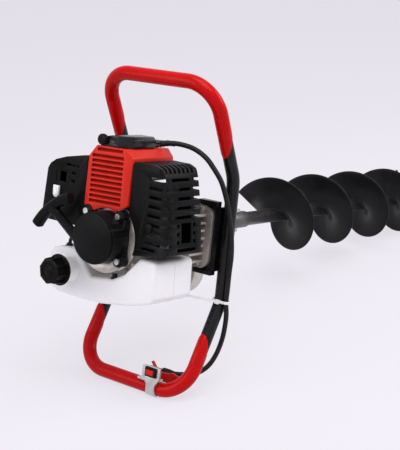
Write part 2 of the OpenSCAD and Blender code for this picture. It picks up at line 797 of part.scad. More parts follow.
// Bit shaft: socket for the output shaft, cross hole and the plain bar that carries the flight
module auger_shaft() color("#6f7174") rest_pose() {
    difference() {
        union() {
            xcyl(socket_x0, flight_x1, bit_shaft_r);
            xcyl(socket_x0, socket_x0 + socket_l, bit_shaft_r + 2.5);
        }
        xcyl(socket_x0 - 1, socket_x0 + socket_l - 4, output_r + seat_gap);
        zcyl(socket_x0 + 26, 0, -40, 40, 4 + seat_gap);
    }
}

module coupling_pin() color("#b5b7ba") rest_pose() {
    zcyl(socket_x0 + 26, 0, -bit_shaft_r - 9, bit_shaft_r + 5, 4);
    zcyl(socket_x0 + 26, 0, bit_shaft_r + 4, bit_shaft_r + 8, 7);
    translate([socket_x0 + 26, 0, -bit_shaft_r - 6]) rotate_extrude() translate([4.6, 0]) circle(r = 0.9);
}

// Angle and place at the end of the flight
flight_a1 = flight_a0 + 360 * bit_turns;
blade_t = 5;
blade_a0 = flight_a1 - blade_angle * 0.6;
blade_x0 = flight_x1 - bit_pitch * blade_angle * 0.6 / 360 + flight_t / 2 + blade_t / 2 + seat_gap;
blade_bolt_r = [bit_r - 41, bit_r - 17];

// Spot on the flight near its end, square to the surface at radius r
module on_blade(r, back) {
    slope = atan(bit_pitch / (2 * PI * r));
    translate([flight_x1 - bit_pitch * back / 360, 0, 0]) rotate([flight_a1 - back, 0, 0])
        translate([0, r, 0]) rotate([0, 90 + slope, 0]) children();
}

module auger_flight() color("#202022") rest_pose() {
    difference() {
        screw_plate(flight_x0, flight_a0, flight_a1, bit_shaft_r - 0.4, bit_r, flight_t, 36 * bit_turns);
        for (r = blade_bolt_r) {
            on_blade(r, 15) translate([0, 0, -20]) cylinder(h = 40, r = 4.3, $fn = 20);
        }
    }
}

module cutting_blade() color("#5a5c5f") rest_pose() {
    difference() {
        screw_plate(blade_x0, blade_a0, blade_a0 + blade_angle, bit_shaft_r + 4, bit_r + 2, blade_t, 8);
        for (r = blade_bolt_r) {
            on_blade(r, 15) translate([0, 0, -20]) cylinder(h = 40, r = 4.3, $fn = 20);
        }
    }
}

module blade_bolts() color("#8b8d90") rest_pose() {
    for (r = blade_bolt_r) {
        lean = cos(atan(bit_pitch / (2 * PI * r)));
        top = (flight_t / 2 + seat_gap + blade_t) * lean + 0.9;
        under = -flight_t / 2 * lean - 0.9;
        on_blade(r, 15) {
            translate([0, 0, under - 6]) cylinder(h = top - under + 7, r = 4);
            translate([0, 0, top]) cylinder(h = 5, r = 7, $fn = 6);
            translate([0, 0, under - 5]) cylinder(h = 5, r = 7, $fn = 6);
        }
    }
}

// Pointed end of the bit with two flat wings
module pilot_point() color("#55575a") rest_pose() {
    translate([flight_x1 + seat_gap, 0, 0]) rotate([0, 90, 0])
        cylinder(h = pilot_l - seat_gap, r1 = bit_shaft_r - 0.5, r2 = 2);
    intersection() {
        block([flight_x1 + 8, -2.5, -30], [pilot_x1 - 12, 2.5, 30]);
        translate([flight_x1 + 8, 0, 0]) rotate([0, 90, 0]) cylinder(h = pilot_l - 8, r1 = 26, r2 = 1);
    }
}

// All that lies in front of a slanted edge, whose rear line runs through a spot
module edge_cut(spot, lean, run, wall) {
    translate(spot) rotate([lean, 0, 0]) rotate([0, 0, atan2(run[1], -run[0])])
        translate([-40, -wall, -120]) cube([90, 40, 240]);
}

// Outline of the shroud with its slanted edge towards the exhaust, shrunk by a wall
module shroud_body(wall, back) {
    difference() {
        xslab(shroud_x0 + wall, shroud_x1 + back) polygon(inset(soft(shroud_pts, 6), wall));
        edge_cut([shroud_x0 + shroud_edge[0], shroud_r, 103], -6, shroud_edge, wall);
    }
}

// One louvre of the shroud: its slot, or the slanted slat behind it
module louvre(z, y0, y1, slat) translate([shroud_x0, shroud_mid, z]) rotate([-2, 0, 0]) {
    if (slat) {
        translate([shell_t / 2, y0 - 1, -2]) rotate([0, -38, 0]) cube([9, y1 - y0 + 2, 1.2]);
    } else {
        block([-1, y0, 0], [shell_t + 1, y1, louvre_h]);
    }
}

// Red shroud: front louvres, open towards the crankcase, the exhaust, the intake and the back
module cylinder_shroud() color("#c2301c") rest_pose() {
    left = shroud_w / 2 - 9;
    right = 12.5 - shroud_w / 2;
    difference() {
        shroud_body(0, 0);
        shroud_body(shell_t, 1);
        for (i = [0:louvre_count - 1]) {
            louvre(52 + i * louvre_step, right, left, false);
        }
        louvre(136.5, right + 3, left - 10, false);
        block([shroud_x0 + shell_t, shroud_r + shell_t, 30], [-60, shroud_l - shell_t - 0.5, 62]);
        xcyl(shroud_x0 - 1, crank_x0, 47);
        xcyl(-170, -158, 59.5);
        xcyl(-90, -60, 62);
        for (p = starter_spots()) {
            xpin(p, -185, crank_x0, 10.5);
        }
        block([cyl_x - 24, shroud_r - 5, 50], [-60, shroud_r + 5, 104]);
        block([cyl_x - 22, shroud_l - 12, 44], [-60, shroud_l + 5, 92]);
        block([-160, -24, 136], [lid_x1 - 4, 24, 150]);
    }
    for (i = [0:louvre_count - 1]) {
        louvre(52 + i * louvre_step, right, left, true);
    }
    louvre(136.5, right + 3, left - 10, true);
}

// Outline of the cap with its slanted front corner, shrunk by a wall
module lid_body(wall) {
    difference() {
        xslab(lid_x0 + wall, lid_x1 - wall) polygon(inset(soft(lid_pts, 4), wall));
        edge_cut([lid_x0 + lid_edge[0], lid_pts[0][0], 155], 0, lid_edge, wall);
    }
}

// Black cap over the spark plug, with the boss that the cable leaves
module top_cover() color("#1d1d1f") rest_pose() {
    difference() {
        union() {
            lid_body(0);
            xpin(lead_spot, lid_x1 - 2, lid_x1 + 17, 6.5);
        }
        translate([0, 0, -shell_t - 0.5]) lid_body(shell_t);
        block([lid_x0 - 1, -8, 151], [lid_x0 + 1.2, 6, 159]);
    }
}

module cover_knob() color("#171718") rest_pose() {
    xpin(knob_spot, lid_x0 - 8, lid_x0 - seat_gap, 8);
    for (a = [0:30:330]) {
        translate([lid_x0, knob_spot[0], knob_spot[1]]) rotate([a, 0, 0]) block([-7, 7, -1], [-1, 9, 1]);
    }
}

module muffler() color("#6b6763") rest_pose() {
    difference() {
        union() {
            block([-148, -88, 24], [-106, -52, 92]);
            ycyl(cyl_x, 72, -53, -42 - seat_gap, 16);
            ycyl(-116, 34, -98, -86, 7);
        }
        block([-146, -86, 26], [-108, -54, 90]);
        ycyl(cyl_x, 72, -55, -41, 9);
        ycyl(-116, 34, -99, -85, 5.5);
    }
}

// Outline of the heat guard with its slanted front edge, shrunk by a wall
module guard_body(wall) {
    difference() {
        xslab(guard_x0 + wall, guard_x1 - wall) polygon(inset(soft(guard_pts, 8), wall));
        edge_cut([guard_x0 + guard_edge[0], -115.8, 57], -9.9, guard_edge, wall);
    }
}

// Black heat guard: slotted top, edge and side, window in the lower side, open towards the cylinder
module muffler_guard() color("#1a1a1c") rest_pose() {
    side = -140;
    difference() {
        guard_body(0);
        guard_body(shell_t);
        block([guard_x0 + shell_t, guard_y0 - 4, -14], [guard_x1 - shell_t, guard_y0 + 6, 120]);
        xcyl(-90, -60, 61.5);
        xcyl(guard_x0 - 1, -158, 59.5);
        for (i = [0:7]) {
            block([guard_x0 - 1, side, 104.5 - i * guard_row], [-162, -80, 109.5 - i * guard_row]);
        }
        for (i = [0:4]) {
            block([-150, side, 104.5 - i * guard_row], [-106, -80, 109.5 - i * guard_row]);
            block([-98, side, 104.5 - i * guard_row], [guard_x1 + 1, -96, 109.5 - i * guard_row]);
        }
        for (i = [0:2]) {
            block([-144, side, 7 + i * 13], [-138, -90, 13 + i * 13]);
            block([-103, side, 7 + i * 13], [-97, -90, 13 + i * 13]);
        }
        block([-133, side, 8], [-108, -90, 40]);
        block([-143, side, -5], [-97, -90, 0]);
        for (i = [0:6]) {
            block([-163 + i * 11, -106, 117], [-158 + i * 11, -56, 140]);
        }
        block([guard_x0 - 1, -100, -7], [guard_x0 + 4, -66, -3]);
    }
    xpin([-86, 29], guard_x0 - 3, guard_x0 + 1, 7);
}

module intake_block() color("#26282a") rest_pose() {
    difference() {
        block([cyl_x - 16, 42 + seat_gap, 46], [cyl_x + 16, 52, 78]);
        ycyl(cyl_x, 62, 40, 54, 9);
    }
}

module carburettor() color("#aaa9a5") rest_pose() {
    difference() {
        union() {
            block([cyl_x - 15, 52 + seat_gap, 48], [cyl_x + 15, 83.8, 76]);
            zcyl(cyl_x, 68, 40, 49, 13);
        }
        ycyl(cyl_x, 62, 50, 86, 9);
        zcyl(cyl_x, 68, 60, 78, 3 + run_fit);
    }
}

// Throttle drum on top of the carburettor, with the notch of the cable
module throttle_drum() color("#d0cec8") rest_pose() {
    difference() {
        union() {
            zcyl(cyl_x, 68, 76 + move_gap, 82, 9);
            block([cyl_x - 16, 65, 78], [cyl_x, 71, 82]);
            zcyl(cyl_x, 68, 71.5, 77, 3);
        }
        zcyl(cyl_x - 12, 68, 77, 83, 2);
    }
}

module filter_base() color("#202022") rest_pose() {
    difference() {
        block([-163, 84, 12], [-97, 88, 112]);
        ycyl(cyl_x, 62, 80, 90, 9);
    }
}

module filter_foam() color("#3a3a3a") rest_pose() {
    block([-160, 88 + seat_gap, 14], [-100, 112, 106]);
}

// Air filter cover with a recess, slots and a groove in its front
module filter_cover() color("#19191b") rest_pose() {
    outline = soft(filter_pts, 7);
    difference() {
        xslab(filter_x0, filter_x1) polygon(outline);
        xslab(filter_x0 + shell_t, filter_x1 - shell_t) polygon(inset(outline, shell_t));
        block([filter_x0 + shell_t, 50, 28], [filter_x1 - shell_t, 64, 116]);
        block([filter_x0 - 1, 100, 72], [filter_x0 + 4, 117, 89]);
        block([filter_x0 - 1, 76, 100], [filter_x0 + 4, 104, 104]);
        for (z = [74, 87]) {
            block([filter_x0 - 1, 82, z], [filter_x0 + 4, 91, z + 4]);
        }
        block([filter_x0 - 1, 124, 60], [filter_x0 + 1, 126, 90]);
        xpin(choke_spot, filter_x0 - 2, filter_x0 + 8, 3 + run_fit);
    }
}

module choke_lever() color("#d8d6cf") rest_pose() {
    face = filter_x0 - move_gap;
    xpin(choke_spot, filter_x0 - 5, filter_x0 + 10, 3);
    xpin(choke_spot, filter_x0 - 4.5, face, 5.5);
    translate([0, choke_spot[0], choke_spot[1]]) block([filter_x0 - 4.5, -6, 0], [face, 6, 14]);
}

// White tank: a hollow shell under the engine, with a filler neck towards the starter side
module fuel_tank() color("#e9e8e2") rest_pose() {
    outline = soft(tank_pts, 9);
    difference() {
        union() {
            xslab(tank_x0, tank_x1) polygon(outline);
            xpin([neck_y, neck_z], neck_x0, tank_x0 + 1, neck_r);
        }
        xslab(tank_x0 + tank_t, tank_x1 - tank_t) polygon(inset(outline, tank_t));
        xpin([neck_y, neck_z], neck_x0 - 1, tank_x0 + 10, cap_plug_r + move_gap);
    }
}

module fuel_cap() color("#161617") rest_pose() {
    xpin([neck_y, neck_z], neck_x0 - 3, neck_x0 - move_gap, cap_d / 2);
    xpin([neck_y, neck_z], neck_x0 - 27, neck_x0 - 2, cap_d / 2 - 7);
    xpin([neck_y, neck_z], neck_x0 - 27, neck_x0 - 23, cap_d / 2 - 5);
    for (a = [0:45:315]) {
        translate([0, neck_y, neck_z]) rotate([a + 12, 0, 0])
            block([neck_x0 - 26.5, cap_d / 2 - 10, -3.5], [neck_x0 - 2, cap_d / 2 - 3, 3.5]);
    }
    difference() {
        xpin([neck_y, neck_z], neck_x0 - 1, neck_x0 + 12, cap_plug_r);
        xpin([neck_y, neck_z], neck_x0 + 2, neck_x0 + 13, cap_plug_r - 3);
    }
}

module fuel_hose() color("#2b2b2b") rest_pose() {
    routed(smooth(hose_pts, 3), 3, 10, [1, 0, 0]);
}

// Places of the four starter screws
function starter_spots() = [[40, 36], [-29, 38], [36, -36], [-35, -34]];

// Recoil starter housing with its round front, four ears, a side box and the rope spout
module starter_cover() color("#18181a") rest_pose() {
    difference() {
        union() {
            xcyl(starter_x0, starter_x0 + 5, starter_d / 2);
            xcyl(starter_x0 + 4, crank_x0, starter_d / 2 + 1.5);
            for (p = starter_spots()) {
                xpin(p, -180, crank_x0, 9.5);
            }
            block([-178, guard_y0 + 0.6, -box_z], [crank_x0, -10, box_z]);
            translate([pull_x, pull_y, pull_z]) rotate([pull_angle, 0, 0])
                ycyl(0, 0, -78, -seat_d - move_gap, 8);
        }
        xcyl(-203, crank_x0 + 1, starter_d / 2 - 2);
        translate([pull_x, pull_y, pull_z]) rotate([pull_angle, 0, 0]) ycyl(0, 0, -79, -10, 3.5);
        for (p = starter_spots()) {
            xpin(p, -181, crank_x0 + 1, 2.5 + seat_gap);
        }
    }
    xcyl(-203.5, -184, 5);
}

module starter_screws() color("#b9bbbe") rest_pose() {
    for (p = starter_spots()) {
        xpin(p, -181, crank_x0 + 5, 2.5);
        xpin(p, -184, -180 - seat_gap, 5);
    }
}

// Flat spiral spring behind the starter's front
function spiral_pts(g, n) = concat(
    [for (i = [0:n]) (8 + 22 * i / n) * [cos(i * 20), sin(i * 20)]],
    [for (i = [n:-1:0]) (8 + 22 * i / n + g) * [cos(i * 20), sin(i * 20)]]);

module recoil_spring() color("#77797c") rest_pose() {
    xslab(-202.7, -200.4) polygon(spiral_pts(1.2, 90));
}

module starter_pulley() color("#303033") rest_pose() {
    difference() {
        union() {
            xcyl(-199.8, -185, 26);
            xcyl(-199.8, -198.2, 35);
            xcyl(-186, -184.5, 35);
        }
        xcyl(-205, -180, 5 + run_fit);
    }
}

module starter_rope() color("#c9c4b4") rest_pose() {
    routed(coil_pts, 1.4, 8, [1, 0, 0]);
}

// Arched pull grip that hangs tilted on its rope, with the boss that seats on the spout
module pull_handle() color("#161618") rest_pose()
    translate([pull_x, pull_y, pull_z]) rotate([pull_angle, 0, 0]) {
    span = pull_l * 180 / (PI * arch_r);
    rotate([grip_tilt, 0, 0]) translate([0, -arch_r, 0]) rotate([90, 0, 90]) rotate([0, 0, -span / 2])
        rotate_extrude(angle = span) translate([arch_r, 0]) circle(r = grip_bar_r);
    difference() {
        ycyl(0, 0, -seat_d, 0, 8);
        ycyl(0, 0, -seat_d - 1, -12, 3.5);
    }
}

// Sleeve of the throttle cable, from the engine's top along the right post to the lower bar
module throttle_cable() color("#141416") rest_pose() {
    routed(smooth(cable_pts, 3), cable_d / 2, 8, [0, 0, 1]);
}

// White band round the post and the cable, with its free tail
module cable_tie() color("#f0efec") rest_pose() translate([0, 0, -tie_z]) {
    spot = [-8, -post_y - 16.5];
    difference() {
        linear_extrude(4.6, center = true) tie_outline(spot, 2.3);
        linear_extrude(6, center = true) tie_outline(spot, 1);
    }
    translate([-16.8, -post_y - 4.5, 0]) cube([6, 7, 6.6], center = true);
    translate([-16.8, -post_y - 4.5, 0]) rotate([0, -6, 127]) translate([0, -0.7, -2]) cube([60, 1.4, 4]);
}

// Outline round the post, which begins to bend there, and the cable
module tie_outline(spot, grow) {
    past = max(0, tie_z - kink_z + kink_tan);
    shift = kink_r - sqrt(kink_r * kink_r - past * past);
    hull() {
        translate([-shift, -post_y]) circle(r = tube_r + grow, $fn = 32);
        translate(spot) circle(r = cable_d / 2 + grow, $fn = 32);
    }
}

// Band on the lower bar with the face plate of the switch, the lever's pin and the cable's stop
module switch_clamp() color("#a8a8a6") rest_pose() {
    plate_pts = [[-clamp_y - 9, bar_z - 8], [-clamp_y + 9, bar_z - 8], [-clamp_y + 9, bar_z + 9],
        [-clamp_y + 19, bar_z + 23], [-clamp_y + 19, plate_top], [-clamp_y - 19, plate_top],
        [-clamp_y - 19, bar_z + 23], [-clamp_y - 9, bar_z + 9]];
    foot = bar_z + grip_r + 0.4;
    difference() {
        union() {
            ycyl(bar_x, bar_z, -clamp_y - 9, -clamp_y + 9, grip_r + 2.2);
            xslab(plate_face, plate_face + 3) polygon(soft(plate_pts, 3));
            block([plate_face + 2, -clamp_y - 8, foot], [bar_x + 8, lever_y + 8, foot + 3]);
            block([bar_x, lever_y - 7.5, foot], [stop_x + 5, lever_y + 7.5, foot + 3]);
            zcyl(lever_x, lever_y, foot + 1, hub_top - 3 - move_gap, 2.5);
            ycyl(stop_x, stop_z, lever_y - 15, lever_y - 1, 5.2);
        }
        ycyl(bar_x, bar_z, -clamp_y - 30, -clamp_y + 30, grip_r + 0.3);
        translate([bar_x, 0, bar_z]) rotate([0, -rest_tilt, 0]) block([-8.5, -80, -20], [8.5, 0, -8]);
        block([plate_face - 1, -clamp_y - sw_w, sw_z - sw_h], [plate_face + 4, -clamp_y + sw_w, sw_z + sw_h]);
    }
}

// Black frame and body of the stop switch
module switch_frame() color("#151516") rest_pose() {
    w = sw_w - seat_gap;
    h = sw_h - seat_gap;
    difference() {
        union() {
            block([plate_face - 3, -clamp_y - w, sw_z - h], [plate_face + 4, -clamp_y + w, sw_z + h - 1]);
            block([plate_face - 3, -clamp_y - w, sw_z - h], [plate_face + 3, -clamp_y + w, sw_z + h]);
            block([plate_face + 3 + seat_gap, -clamp_y - 10, sw_z - h - 2],
                [bar_x, -clamp_y + 14, plate_top - 4]);
        }
        block([plate_face - 4, -clamp_y - key_w, sw_z - key_h],
            [plate_face + 12, -clamp_y + key_w, sw_z + key_h]);
    }
}

module stop_button() color("#c4181c") rest_pose() {
    w = key_w - move_gap;
    h = key_h - move_gap;
    block([plate_face - 6, -clamp_y - w, sw_z - h],
        [plate_face + 12 - button_travel - move_gap, -clamp_y + w, sw_z + h]);
}

// Red throttle lever: hub on the pin, finger blade behind the bar and a thumb leaf on the hub
module throttle_lever() color("#b8181b") rest_pose() {
    low = grip_r + 3.4 + move_gap;
    difference() {
        union() {
            zcyl(lever_x, lever_y, bar_z + low, hub_top, 5.5);
            translate([lever_x, lever_y, bar_z]) rotate([0, 0, 12]) xslab(2, 6) polygon([[-48, 4], [-11, 4],
                [-11, low + 0.6], [0, low + 0.6], [0, 21], [-14, 20], [-26, 20.5], [-33, 22.5], [-40, 20], [-48, 18]]);
            translate([lever_x + 0.5, lever_y - 4.5, hub_top - 5]) rotate([-40, 0, 0])
                block([0, -1.5, 0], [5, 1.5, 20]);
        }
        zcyl(lever_x, lever_y, bar_z + low - 1, hub_top - 3, 2.5 + run_fit);
    }
}

upper_frame();
lower_frame();
upper_grip();
lower_grip();
mount_plate();
plate_bolts();
clutch_housing();
gearbox_housing();
gearbox_cover();
gearbox_screws();
ball_bearings();
output_seal();
crankcase();
crankshaft();
connecting_rod();
piston();
piston_pin();
finned_cylinder();
spark_plug();
plug_cap();
flywheel();
ignition_coil();
clutch_shoes();
cylinder_shroud();
top_cover();
cover_knob();
muffler();
muffler_guard();
intake_block();
carburettor();
throttle_drum();
filter_base();
filter_foam();
filter_cover();
choke_lever();
fuel_tank();
fuel_cap();
fuel_hose();
starter_cover();
starter_screws();
recoil_spring();
starter_pulley();
starter_rope();
pull_handle();
throttle_cable();
cable_tie();
switch_clamp();
switch_frame();
stop_button();
throttle_lever();
clutch_drum();
layshaft();
output_shaft();
output_gear();
auger_shaft();
auger_flight();
cutting_blade();
blade_bolts();
pilot_point();
coupling_pin();
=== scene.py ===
"""Looks of a petrol earth auger that lies on its lower handle bar and on the rim of its bit.

Shapes are written in the machine frame, in mm: X along the crank and the bit, Y towards the air
filter, Z along the cylinder. MACHINE turns them into the row frame, in metres.
"""

import json
import math

import bmesh
import bpy
import numpy as np
from mathutils import Matrix, Vector

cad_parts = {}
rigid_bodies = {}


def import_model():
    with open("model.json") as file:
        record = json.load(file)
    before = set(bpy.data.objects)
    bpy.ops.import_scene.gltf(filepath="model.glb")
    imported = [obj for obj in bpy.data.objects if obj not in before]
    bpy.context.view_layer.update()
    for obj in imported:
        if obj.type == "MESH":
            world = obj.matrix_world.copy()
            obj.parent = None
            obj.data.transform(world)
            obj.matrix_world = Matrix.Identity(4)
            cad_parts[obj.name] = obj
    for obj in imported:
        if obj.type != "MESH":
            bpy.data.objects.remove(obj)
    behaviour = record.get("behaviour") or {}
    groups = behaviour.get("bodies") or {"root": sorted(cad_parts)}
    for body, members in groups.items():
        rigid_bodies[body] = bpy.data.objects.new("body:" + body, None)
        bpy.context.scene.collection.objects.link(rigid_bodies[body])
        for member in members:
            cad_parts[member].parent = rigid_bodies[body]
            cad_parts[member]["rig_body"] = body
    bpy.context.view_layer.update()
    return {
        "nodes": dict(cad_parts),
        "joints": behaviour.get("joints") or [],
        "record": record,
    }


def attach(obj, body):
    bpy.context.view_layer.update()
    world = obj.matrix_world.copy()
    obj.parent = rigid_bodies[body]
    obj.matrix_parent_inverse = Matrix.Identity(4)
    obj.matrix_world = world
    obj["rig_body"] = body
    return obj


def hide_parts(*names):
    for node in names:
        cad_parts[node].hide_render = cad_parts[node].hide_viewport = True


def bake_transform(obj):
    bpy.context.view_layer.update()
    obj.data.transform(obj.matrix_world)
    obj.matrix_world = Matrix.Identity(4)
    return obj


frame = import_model()
NODES = frame["nodes"]
JOINTS = {j["name"]: j for j in frame["joints"]}

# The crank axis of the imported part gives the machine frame
MM = 0.001
AXIS_X = Vector(JOINTS["auger_spin"]["axis"]).normalized()
AXIS_Y = Vector((0, 1, 0))
AXIS_Z = AXIS_X.cross(AXIS_Y)
AXIS_FOOT = Vector(JOINTS["auger_spin"]["pos_m"])
TURN = Matrix((AXIS_X, AXIS_Y, AXIS_Z)).transposed().to_4x4()
MACHINE = Matrix.Translation(AXIS_FOOT) @ TURN @ Matrix.Scale(MM, 4)

# Camera of the photograph in the machine frame
CAMERA_AT = (-1484, -1155, 338)
CAMERA_AZIMUTH = math.radians(36.5)
CAMERA_PITCH = math.radians(9.9)
CAMERA_ROLL = math.radians(5.8)
CAMERA_LENS = 88
CAMERA_SENSOR = 36

# Sizes shared by several pieces, in mm
BIT_R = 75
BIT_PITCH = 155
BIT_TURNS = 4
FLIGHT_X0 = 280
FLIGHT_A0 = math.radians(30)
FLIGHT_T = 4
SHAFT_R = 13
BAR_X = -78.99
BAR_Z = -259.04
STOP_X = BAR_X + 41
STOP_Y = -50
STOP_Z = BAR_Z + 17.5
TANK_X0 = -165
TANK_X1 = -70
NECK = (80.5, -70)
NECK_X0 = -190
NECK_R = 20
CABLE_D = 8.5
HOSE_D = 6
PULL_X = -197
PULL_ANGLE = math.radians(34)
GRIP_TILT = math.radians(17.5)
ROPE_OFF = 30
PULL_REACH = 103
ROPE_R = 1.5


# Edges: flat seams to merge, soft edges to round and the limit of smooth shading, in degrees
FLAT_BELOW = 0.6
BEVEL_ABOVE = 40
BEVEL_STEPS = 2
SMOOTH_BELOW = 32
WELD_M = 2e-6


# Mesh helpers


def rounded(points, radius, steps=6):
    """Closed outline whose corners are turned into short arcs."""
    made = []
    count = len(points)
    for i, corner in enumerate(points):
        b = np.array(corner, float)
        u = np.array(points[i - 1], float) - b
        v = np.array(points[(i + 1) % count], float) - b
        lu, lv = np.linalg.norm(u), np.linalg.norm(v)
        half = math.acos(max(-1, min(1, u @ v / lu / lv))) / 2
        cut = min(radius / math.tan(half), lu * 0.45, lv * 0.45)
        p, q = b + u / lu * cut, b + v / lv * cut
        for k in range(steps + 1):
            t = k / steps
            made.append((1 - t) ** 2 * p + 2 * t * (1 - t) * b + t * t * q)
    return made


def inset(outline, depth):
    """Closed anticlockwise outline moved inwards."""
    pts = np.array(outline)
    before = pts - np.roll(pts, 1, 0)
    after = np.roll(pts, -1, 0) - pts
    na = np.stack([-before[:, 1], before[:, 0]], 1) / np.linalg.norm(before, axis=1)[:, None]
    nb = np.stack([-after[:, 1], after[:, 0]], 1) / np.linalg.norm(after, axis=1)[:, None]
    return pts + (na + nb) * depth / (1 + (na * nb).sum(1))[:, None]


def loft(rings):
    """Points and faces of a skin over rings of equal count, with both ends capped."""
    count = len(rings[0])
    points = [tuple(p) for ring in rings for p in ring]
    faces = []
    for i in range(len(rings) - 1):
        a, b = i * count, (i + 1) * count
        for k in range(count):
            j = (k + 1) % count
            faces.append((a + k, a + j, b + j, b + k))
    faces.append(tuple(range(count - 1, -1, -1)))
    faces.append(tuple(range(len(points) - count, len(points))))
    return points, faces


def soft_slab(outline, x0, x1, edge, steps=5):
    """Slab along X with a given outline in the plane across it and rounded front and back edges."""
    rings = []
    for x, way in ((x0, 1), (x1, -1)):
        stack = []
        for k in range(steps + 1):
            a = math.pi / 2 * k / steps
            section = inset(outline, edge * (1 - math.sin(a)))
            stack.append([(x + way * edge * (1 - math.cos(a)), y, z) for y, z in section])
        rings += stack if way > 0 else stack[::-1]
    return loft(rings)


def curve_through(points, steps):
    """Smooth route through points, as a list of vectors."""
    pts = [Vector(p) for p in points]
    last = len(pts) - 1
    made = []
    for i in range(last):
        a, b = pts[max(i - 1, 0)], pts[i]
        c, d = pts[i + 1], pts[min(i + 2, last)]
        for k in range(steps):
            t = k / steps
            made.append(b + (c - a) * t / 2 + (2 * a - 5 * b + 4 * c - d) * t * t / 2
                        + (3 * b - a - 3 * c + d) * t ** 3 / 2)
    return made + [pts[last]]


def tube_rings(route, radius, sides=16):
    """Rings of a round tube along a route; radius is a number or a function of the share of the way."""
    rings = []
    side = None
    for i, p in enumerate(route):
        ahead = (route[min(i + 1, len(route) - 1)] - route[max(i - 1, 0)]).normalized()
        if side is None:
            side = ahead.orthogonal().normalized()
        side = (side - ahead * side.dot(ahead)).normalized()
        up = ahead.cross(side)
        r = radius(i / (len(route) - 1)) if callable(radius) else radius
        rings.append([p + r * (math.cos(2 * math.pi * k / sides) * side
                               + math.sin(2 * math.pi * k / sides) * up) for k in range(sides)])
    return rings


def around(sides):
    """Angles of the corners of a round section."""
    return np.linspace(0, 2 * math.pi, sides, endpoint=False)


def piece(name, shape, body, look, replaced=(), sharp=35, place=MACHINE):
    """Object made of points and faces, riding on a body."""
    points, faces = shape
    mesh = bpy.data.meshes.new(name)
    mesh.from_pydata([place @ Vector(p) for p in points], [], faces)
    tidy = bmesh.new()
    tidy.from_mesh(mesh)
    bmesh.ops.recalc_face_normals(tidy, faces=tidy.faces)
    tidy.to_mesh(mesh)
    tidy.free()
    mesh.polygons.foreach_set("use_smooth", [True] * len(mesh.polygons))
    mesh.set_sharp_from_angle(angle=math.radians(sharp))
    mesh.materials.append(look)
    obj = bpy.data.objects.new(name, mesh)
    bpy.context.scene.collection.objects.link(obj)
    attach(obj, body)
    if replaced:
        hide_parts(*replaced)
    return obj


def add_bevel(obj, width):
    """Softens the sharp edges of a piece; width is in mm."""
    bevel = obj.modifiers.new("soft_edges", "BEVEL")
    bevel.width = width * MM
    bevel.segments = BEVEL_STEPS
    bevel.limit_method = "ANGLE"
    bevel.angle_limit = math.radians(BEVEL_ABOVE)
    bevel.use_clamp_overlap = True
    bevel.miter_outer = "MITER_ARC"


# Materials


class Look:
    """Small builder of a procedural material around one Principled shader."""

    def __init__(self, name, color, rough, metal=0.0, **sockets):
        self.made = bpy.data.materials.new(name)
        self.made.use_nodes = True
        self.tree = self.made.node_tree
        self.shader = self.tree.nodes["Principled BSDF"]
        self.set("Base Color", (*color, 1))
        self.set("Roughness", rough)
        self.set("Metallic", metal)
        for key, value in sockets.items():
            self.set(key.replace("_", " ").title().replace("Ior", "IOR"), value)
        self.color = color
        self.where = self.node("ShaderNodeTexCoord").outputs["Object"]
        self.normal = None

    def set(self, socket, value):
        self.shader.inputs[socket].default_value = value

    def node(self, kind, **values):
        made = self.tree.nodes.new(kind)
        for key, value in values.items():
            setattr(made, key, value)
        return made

    def link(self, a, b):
        self.tree.links.new(a, b)

    def noise(self, scale, detail=3, stretch=None):
        """Noise value; scale is in features per metre, stretch squeezes it along the axes."""
        made = self.node("ShaderNodeTexNoise")
        made.inputs["Scale"].default_value = scale
        made.inputs["Detail"].default_value = detail
        where = self.where
        if stretch:
            mapping = self.node("ShaderNodeMapping")
            mapping.inputs["Scale"].default_value = stretch
            self.link(where, mapping.inputs["Vector"])
            where = mapping.outputs["Vector"]
        self.link(where, made.inputs["Vector"])
        return made.outputs["Fac"]

    def span(self, value, low, high, to_low, to_high):
        """Value mapped from one range to another."""
        made = self.node("ShaderNodeMapRange")
        ends = {"From Min": low, "From Max": high, "To Min": to_low, "To Max": to_high}
        for key, number in ends.items():
            made.inputs[key].default_value = number
        self.link(value, made.inputs["Value"])
        return made.outputs["Result"]

    def tint(self, value, other, low=0.4, high=0.7):
        """Base colour that runs to another colour where value is high."""
        mix = self.node("ShaderNodeMix", data_type="RGBA")
        self.link(self.span(value, low, high, 0, 1), mix.inputs["Factor"])
        start = self.shader.inputs["Base Color"]
        if start.is_linked:
            self.link(start.links[0].from_socket, mix.inputs[6])
        else:
            mix.inputs[6].default_value = (*self.color, 1)
        mix.inputs[7].default_value = (*other, 1)
        self.link(mix.outputs[2], start)
        return self

    def gloss(self, value, low, high):
        """Roughness that varies between two values."""
        self.link(self.span(value, 0.3, 0.7, low, high), self.shader.inputs["Roughness"])
        return self

    def bump(self, value, depth, strength=0.5):
        """Fine relief; depth is in mm."""
        made = self.node("ShaderNodeBump")
        made.inputs["Distance"].default_value = depth * MM
        made.inputs["Strength"].default_value = strength
        self.link(value, made.inputs["Height"])
        if self.normal:
            self.link(self.normal, made.inputs["Normal"])
        self.normal = made.outputs["Normal"]
        self.link(self.normal, self.shader.inputs["Normal"])
        return self

    def worn(self, color, low=0.52, high=0.6):
        """Lighter colour along raised edges."""
        self.tint(self.node("ShaderNodeNewGeometry").outputs["Pointiness"], color, low, high)
        return self


def powder_coat():
    look = Look("powder_coat", (0.004, 0.004, 0.005), 0.24, specular_ior_level=0.24)
    look.tint(look.noise(22), (0.007, 0.007, 0.008))
    look.gloss(look.noise(70), 0.18, 0.3)
    return look.bump(look.noise(900, 2), 0.06, 0.3).made


